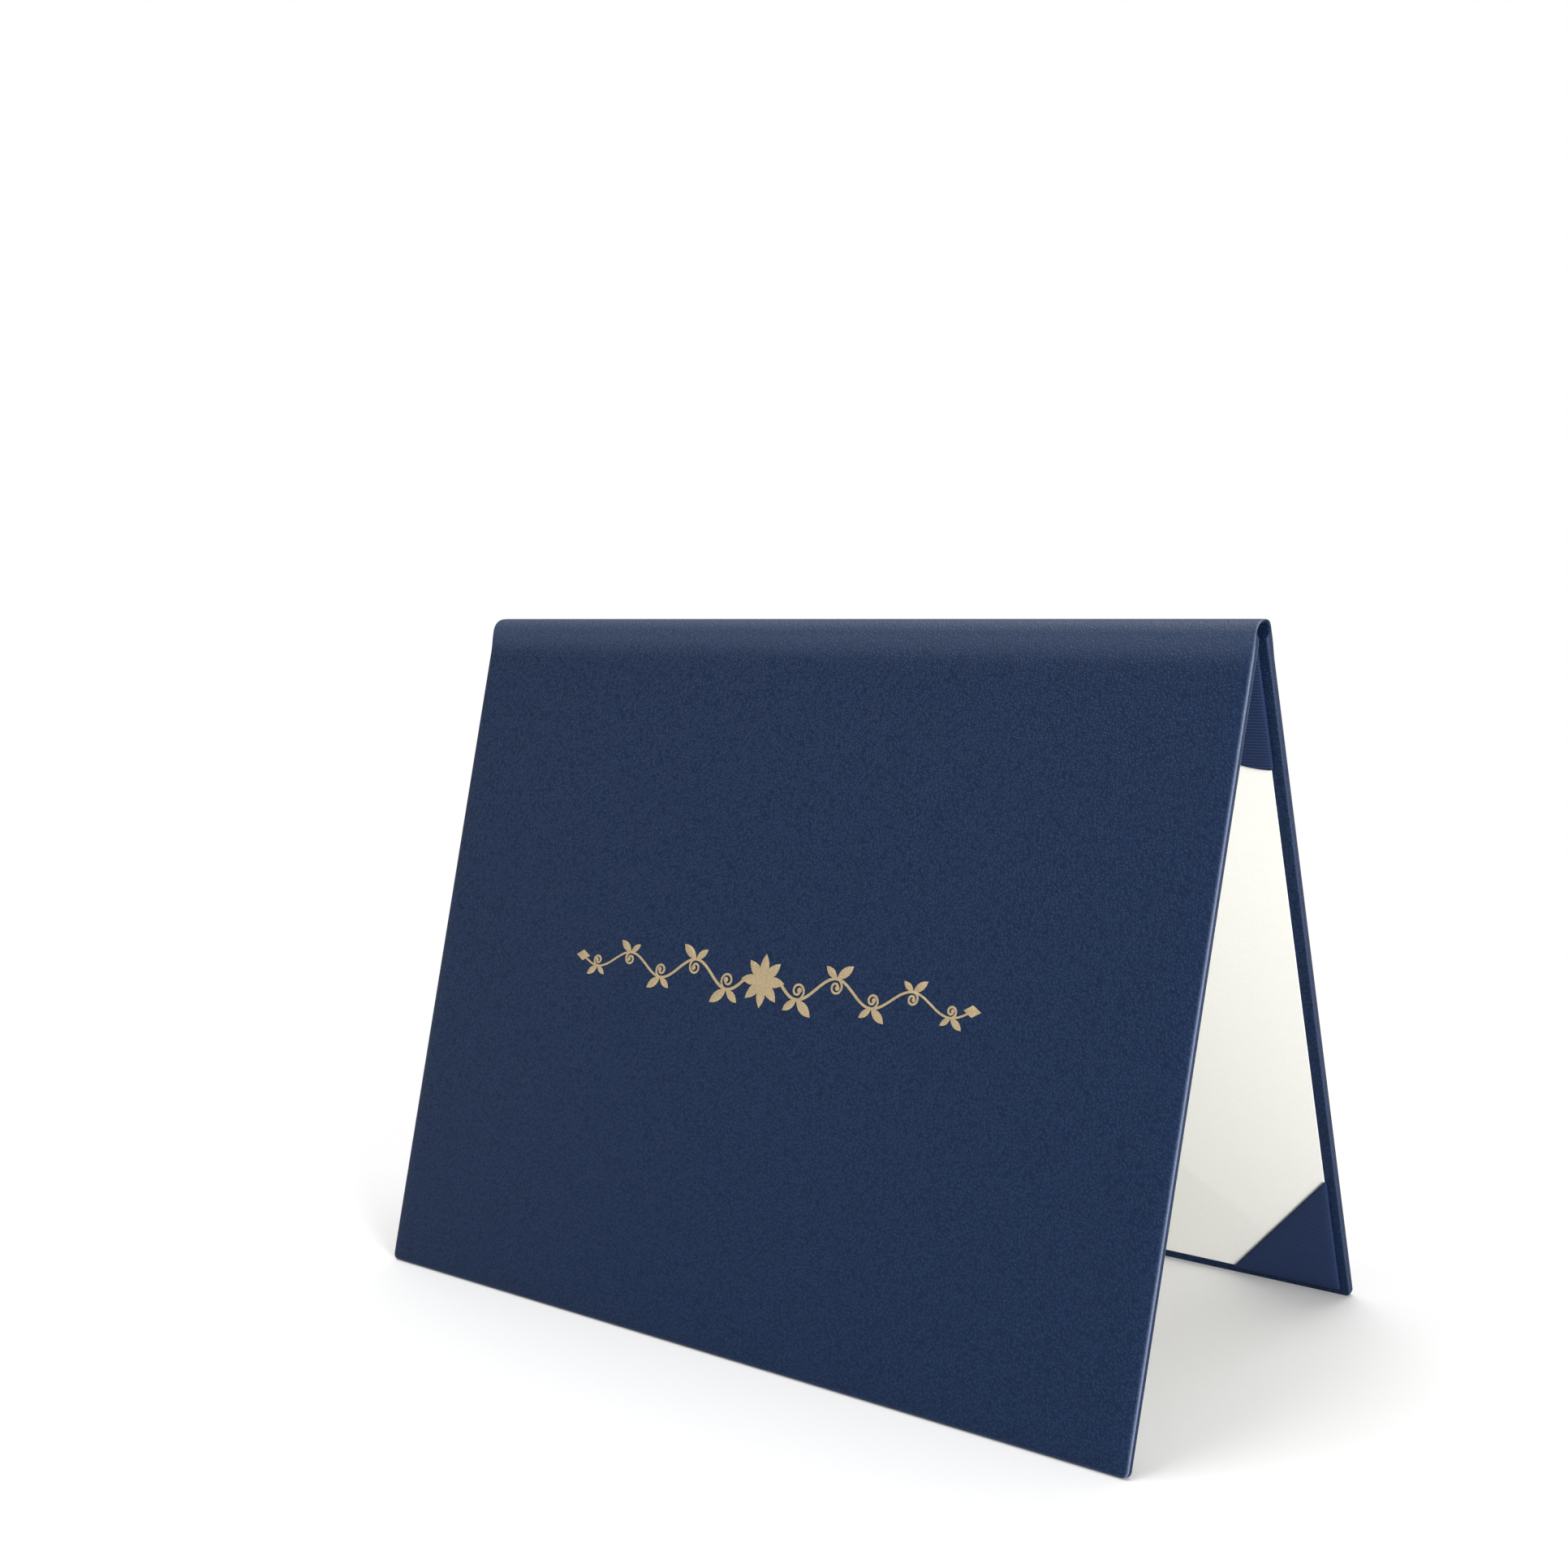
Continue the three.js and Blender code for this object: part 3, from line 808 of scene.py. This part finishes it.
class CoverSizes(bpy.types.PropertyGroup):
    """Sizes that change how the soft layers look."""

    crown_reach: length("Crown reach", "Width of the band where the padding rolls down", 8 * MM)
    turn_in_width: length("Turn-in width", "Leatherette folded over onto the back", 14 * MM)
    spine_roll_reach: length("Spine roll reach", "Width of the band where the padding sinks", 11 * MM)
    spine_roll_depth: length("Spine roll depth", "How far the padding sinks there", 0.5 * MM)
    ripple_depth: length("Ripple depth", "How far the padded face swells and sinks", 0.07 * MM)
    ripple_spacing: length("Ripple spacing", "Distance from one swelling to the next", 38 * MM)
    lining_flange: length("Lining flange", "Spine lining glued to each cover", 12 * MM)
    lining_end_margin: length("Lining end margin", "The lining stops short of the sides", 0.7 * MM)
    liner_corner_radius: length("Liner corner radius", "Rounding of the liner's corners", 0.4 * MM)
    liner_edge_softness: length("Liner edge softness", "Rounding of the card's cut edges", 0.08 * MM)
    pocket_along_spine: length("Pocket along spine", "Leg of a pocket along the spine", 35.7 * MM)
    pocket_down_cover: length("Pocket down cover", "Leg of a pocket down the cover", 41.8 * MM)
    hinge_pocket_share: bpy.props.FloatProperty(
        name="Hinge pocket share",
        description="Depth of the pockets beside the hinge, by that at the foot",
        default=0.84,
    )
    pocket_swell: length("Pocket swell", "How far the cloth rises over the paper's room", 0.15 * MM)
    hem_width: length("Hem width", "Cloth folded under along a pocket's slanting edge", 5 * MM)


class CoverFinishes(bpy.types.PropertyGroup):
    """Colours and grain."""

    leather_color: color("Leatherette", "Navy leatherette", (0.0086, 0.0245, 0.0712))
    # Pale colour of the folds: rubbed wear, and painted highlight and painted sheen where it is strong
    fold_wear_and_highlight_color: color("Rubbed folds and painted highlight", "Leatherette where a fold is stretched and rubbed", (0.17, 0.22, 0.34))
    pocket_color: color("Pocket cloth", "Navy ribbed cloth", (0.0125, 0.0295, 0.09))
    liner_color: color("Liner", "Pale card", (0.93, 0.92, 0.87))
    board_color: color("Board", "Greyboard", (0.27, 0.24, 0.2))
    foam_color: color("Foam", "Pale foam", (0.72, 0.68, 0.6))
    foil_color: color("Foil", "Pale gold foil", (0.63, 0.49, 0.29))
    floor_color: color("Floor", "Pale floor", (0.9, 0.9, 0.9))
    pebble_size: length("Pebble size", "Spacing of the leatherette's grain", 0.65 * MM)
    grain_slant: bpy.props.FloatProperty(
        name="Grain slant",
        description="Slant of the grain on the cover",
        default=math.radians(45),
        subtype="ANGLE",
    )


# Operators


class MakeFinishes(bpy.types.Operator):
    """Build the shader node groups and the materials"""

    bl_idname = "diploma_cover.make_finishes"
    bl_label = "Make finishes"

    def execute(self, context):
        finishes = context.scene.cover_finishes
        grain_group()
        rib_group()
        leatherette(finishes)
        pocket_cloth(finishes)
        foil(finishes)
        mottled("pale liner card", finishes.liner_color, *CARD_FIBRES)
        mottled("plain greyboard", finishes.board_color, *BOARD_FIBRES)
        mottled("pale foam", finishes.foam_color, *FOAM_FIBRES)
        return {"FINISHED"}


class WrapCovers(bpy.types.Operator):
    """Wrap both covers and the spine in padded leatherette"""

    bl_idname = "diploma_cover.wrap_covers"
    bl_label = "Wrap covers"

    def execute(self, context):
        front = lay_out_skin(context.scene.cover_sizes)
        rear = own_copy(front, "rear_cover_skin")
        roll_up(front)
        roll_up(rear, turned=True)
        for skin, cover in ((front, "front_cover"), (rear, "rear_cover")):
            shade(skin)
            give_material(skin, bpy.data.materials["navy leatherette"])
            blend_over_fold(skin)
        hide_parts("front_wrap", "spine_wrap")
        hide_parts("rear_wrap")
        return {"FINISHED"}


class LineSpine(bpy.types.Operator):
    """Line the inside of the spine"""

    bl_idname = "diploma_cover.line_spine"
    bl_label = "Line spine"

    def execute(self, context):
        sizes = context.scene.cover_sizes
        front = lay_out_lining(sizes)
        rear = own_copy(front, "rear_spine_lining")
        roll_up(front)
        roll_up(rear, turned=True)
        for lining, cover in ((front, "front_cover"), (rear, "rear_cover")):
            shade(lining)
            give_material(lining, bpy.data.materials["navy leatherette"])
            blend_over_fold(lining)
        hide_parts("front_hinge_lining", "spine_hinge_lining")
        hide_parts("rear_hinge_lining")
        return {"FINISHED"}


class FitLiners(bpy.types.Operator):
    """Fit the pale card liners"""

    bl_idname = "diploma_cover.fit_liners"
    bl_label = "Fit liners"

    def execute(self, context):
        front = lay_out_liner(context.scene.cover_sizes)
        rear = own_copy(front, "rear_liner_panel")
        roll_up(front)
        roll_up(rear, turned=True)
        for liner, side in ((front, "front"), (rear, "rear")):
            shade(liner)
            give_material(liner, bpy.data.materials["pale liner card"])
            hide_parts(side + "_liner")
            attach(liner, side + "_cover")
        return {"FINISHED"}


class SewPockets(bpy.types.Operator):
    """Stretch the four corner pockets over the rear liner"""

    bl_idname = "diploma_cover.sew_pockets"
    bl_label = "Sew pockets"

    def execute(self, context):
        sizes = context.scene.cover_sizes
        corner_x = HALF_LENGTH - SIDE_BORDER + POCKET_THICKNESS
        foot_y = COVER_HEIGHT - FOOT_BORDER + POCKET_THICKNESS
        hinge_y = HINGE_BORDER - POCKET_THICKNESS
        for name in ("pocket_hinge_left", "pocket_hinge_right", "pocket_foot_left", "pocket_foot_right"):
            pocket = lay_out_pocket(sizes)
            pocket.name = pocket.data.name = name + "_cloth"
            down = sizes.pocket_down_cover
            if "hinge" in name:
                bow_free_edge(pocket, sizes)
                down *= sizes.hinge_pocket_share
            area = finish_pocket(pocket)
            side = 1 if name.endswith("left") else -1
            edge = 1 if "hinge" in name else -1
            mirror = Matrix.Diagonal((-side, edge, 1, 1))
            pocket.data.transform(mirror)
            corner = Vector((side * corner_x, hinge_y if edge > 0 else foot_y, 0))
            pocket.data.transform(Matrix.Translation(corner))
            if side * edge > 0:
                pocket.data.flip_normals()
            roll_up(pocket, turned=True)
            shade(pocket, POCKET_SMOOTH_ANGLE)
            give_material(pocket, bpy.data.materials["navy pocket cloth"])
            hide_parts(name)
            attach(pocket, "rear_cover")
        return {"FINISHED"}


class StampFoil(bpy.types.Operator):
    """Stamp the gold vine into the front cover"""

    bl_idname = "diploma_cover.stamp_foil"
    bl_label = "Stamp foil"

    def execute(self, context):
        solid = frame["nodes"]["front_foil_ornament"]
        vine = own_copy(solid, "gold_vine")
        vine.parent = None
        vine.data.transform(solid.matrix_world)
        vine.matrix_world = Matrix.Identity(4)
        edit(vine)
        bpy.ops.mesh.select_all(action="SELECT")
        bpy.ops.mesh.remove_doubles(threshold=MERGE_DISTANCE)
        bpy.ops.mesh.dissolve_limited(angle_limit=FLAT_ANGLE)
        leave_edit()
        vine.data.transform(Matrix.Translation(INWARD * FOIL_SEATING))
        apply_modifier(vine, "BEVEL", width=FOIL_EDGE, segments=2, limit_method="ANGLE")
        shade(vine)
        give_material(vine, bpy.data.materials["pale gold foil"])
        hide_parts("front_foil_ornament")
        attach(vine, "front_cover")
        return {"FINISHED"}


class DressCore(bpy.types.Operator):
    """Give the boards and the foam inside the covers their finishes"""

    bl_idname = "diploma_cover.dress_core"
    bl_label = "Dress core"

    def execute(self, context):
        for side in ("front", "rear"):
            board = frame["nodes"][side + "_board"]
            pad = frame["nodes"][side + "_pad"]
            give_material(board, bpy.data.materials["plain greyboard"])
            give_material(pad, bpy.data.materials["pale foam"])
        return {"FINISHED"}


class SetStage(bpy.types.Operator):
    """Set the floor, the lamps and the camera"""

    bl_idname = "diploma_cover.set_stage"
    bl_label = "Set stage"

    def execute(self, context):
        scene = context.scene
        scene.view_settings.view_transform = "Standard"
        lay_floor(scene.cover_finishes)
        light_world(scene)
        for lamp in LAMPS:
            hang_lamp(**lamp)
        place_camera(scene)
        return {"FINISHED"}


# Stage

STAGE_AIM = Vector((0, 0, 110 * MM))
LAMPS = (
    {"name": "key_softbox", "place": (-0.55, -0.8, 1.7), "size": (1.0, 0.7), "power": 11},
    {"name": "top_softbox", "place": (-0.2, 0.5, 1.7), "size": (1.8, 1.4), "power": 21},
    {"name": "side_softbox", "place": (1.6, -0.75, 0.35), "size": (0.5, 1.0), "power": 36},
)
WORLD_LIGHT = 0.36
FLOOR_RADIUS = 30
FLOOR_GAP = 0.01 * MM
FLOOR_BOUNCE = 0.6  # the floor's colour for all but the camera's rays, by that for the camera's
FLOOR_FADE = (0.16, 0.6)
CAMERA_PLACE = Vector((371.84, -491.32, 250.51)) * MM
CAMERA_YAW = math.radians(38.813)
CAMERA_PITCH = math.radians(-13.293)
CAMERA_ROLL = math.radians(-2.338)
SENSOR_WIDTH = 36.0
CAMERA_LENS = SENSOR_WIDTH * 1.23743
CAMERA_SHIFT_Y = 0.1227


def lay_floor(finishes):
    """Pale floor, which fades to white for the camera away from the object."""
    deselect_all()
    bpy.ops.mesh.primitive_circle_add(vertices=64, radius=FLOOR_RADIUS, fill_type="NGON", location=(0, 0, 0))
    floor = bpy.context.object
    floor.name = floor.data.name = "floor"
    floor.data.transform(Matrix.Translation((0, 0, -FLOOR_GAP)))
    material, tree, shader = material_with_shader("floor")
    seen = add_node(tree, "ShaderNodeLightPath").outputs
    put_color(tree, shader, tinted(tree, finishes.floor_color, seen["Is Camera Ray"], (FLOOR_BOUNCE, 1.0)))
    set_shader(shader, FLOOR_SHADER)
    white = add_node(tree, "ShaderNodeEmission", Strength=1.0).outputs[0]
    place = object_place(tree)
    distance = add_node(tree, "ShaderNodeVectorMath", {"operation": "LENGTH"}, i0=place).outputs["Value"]
    near, far = FLOOR_FADE
    smooth = {"interpolation_type": "SMOOTHSTEP"}
    fade = add_node(
        tree, "ShaderNodeMapRange", smooth, Value=distance, From_Min=near, From_Max=far
    ).outputs[0]
    viewed = calculate(tree, "MAXIMUM", seen["Is Camera Ray"], seen["Is Glossy Ray"])
    share = calculate(tree, "MULTIPLY", fade, viewed)
    mixed = add_node(tree, "ShaderNodeMixShader", Fac=share, i1=shader.outputs[0], i2=white)
    tree.links.new(mixed.outputs[0], tree.nodes["Material Output"].inputs["Surface"])
    floor.data.materials.append(material)


def light_world(scene):
    """White for the camera, softer for the light it gives."""
    world = bpy.data.worlds.new("studio")
    world.use_nodes = True
    tree = world.node_tree
    background = tree.nodes["Background"]
    seen = add_node(tree, "ShaderNodeLightPath").outputs["Is Camera Ray"]
    strength = add_node(tree, "ShaderNodeMapRange", Value=seen, To_Min=WORLD_LIGHT, To_Max=1.0).outputs[0]
    background.inputs["Color"].default_value = (1, 1, 1, 1)
    tree.links.new(strength, background.inputs["Strength"])
    scene.world = world


def hang_lamp(name, place, size, power):
    deselect_all()
    bpy.ops.object.light_add(type="AREA", location=place)
    lamp = bpy.context.object
    lamp.name = lamp.data.name = name
    lamp.data.shape = "RECTANGLE"
    lamp.data.size, lamp.data.size_y = size
    lamp.data.energy = power
    lamp.rotation_euler = (STAGE_AIM - Vector(place)).to_track_quat("-Z", "Y").to_euler()


def place_camera(scene):
    deselect_all()
    bpy.ops.object.camera_add(location=CAMERA_PLACE)
    camera = bpy.context.object
    camera.name = camera.data.name = "camera"
    level = math.cos(CAMERA_PITCH)
    forward = Vector((-math.sin(CAMERA_YAW) * level, math.cos(CAMERA_YAW) * level, math.sin(CAMERA_PITCH)))
    right = Vector((math.cos(CAMERA_YAW), math.sin(CAMERA_YAW), 0))
    up = right.cross(forward)
    turned_right = right * math.cos(CAMERA_ROLL) + up * math.sin(CAMERA_ROLL)
    turned_up = up * math.cos(CAMERA_ROLL) - right * math.sin(CAMERA_ROLL)
    axes = Matrix((turned_right, turned_up, -forward)).transposed().to_4x4()
    camera.matrix_world = Matrix.Translation(CAMERA_PLACE) @ axes
    camera.data.sensor_width = SENSOR_WIDTH
    camera.data.lens = CAMERA_LENS
    camera.data.shift_y = CAMERA_SHIFT_Y
    camera.data.clip_start = 0.01
    scene.camera = camera


# Panel and registration

STEPS = (MakeFinishes, WrapCovers, LineSpine, FitLiners, SewPockets, StampFoil, DressCore, SetStage)


class CoverPanel(bpy.types.Panel):
    """Steps of the diploma cover, in order"""

    bl_idname = "VIEW3D_PT_diploma_cover"
    bl_label = "Diploma cover"
    bl_space_type = "VIEW_3D"
    bl_region_type = "UI"
    bl_category = "Diploma cover"

    def draw(self, context):
        column = self.layout.column(align=True)
        for step in STEPS:
            column.operator(step.bl_idname)
        for group in (context.scene.cover_sizes, context.scene.cover_finishes):
            box = self.layout.box()
            for name in group.__annotations__:
                box.prop(group, name)


CLASSES = (CoverSizes, CoverFinishes, *STEPS, CoverPanel)


def register():
    for item in CLASSES:
        bpy.utils.register_class(item)
    bpy.types.Scene.cover_sizes = bpy.props.PointerProperty(type=CoverSizes)
    bpy.types.Scene.cover_finishes = bpy.props.PointerProperty(type=CoverFinishes)


def unregister():
    del bpy.types.Scene.cover_sizes
    del bpy.types.Scene.cover_finishes
    for item in reversed(CLASSES):
        bpy.utils.unregister_class(item)


def main():
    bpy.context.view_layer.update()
    register()
    for step in STEPS:
        group, name = step.bl_idname.split(".")
        getattr(getattr(bpy.ops, group), name)()


if __name__ == "__main__":
    main()
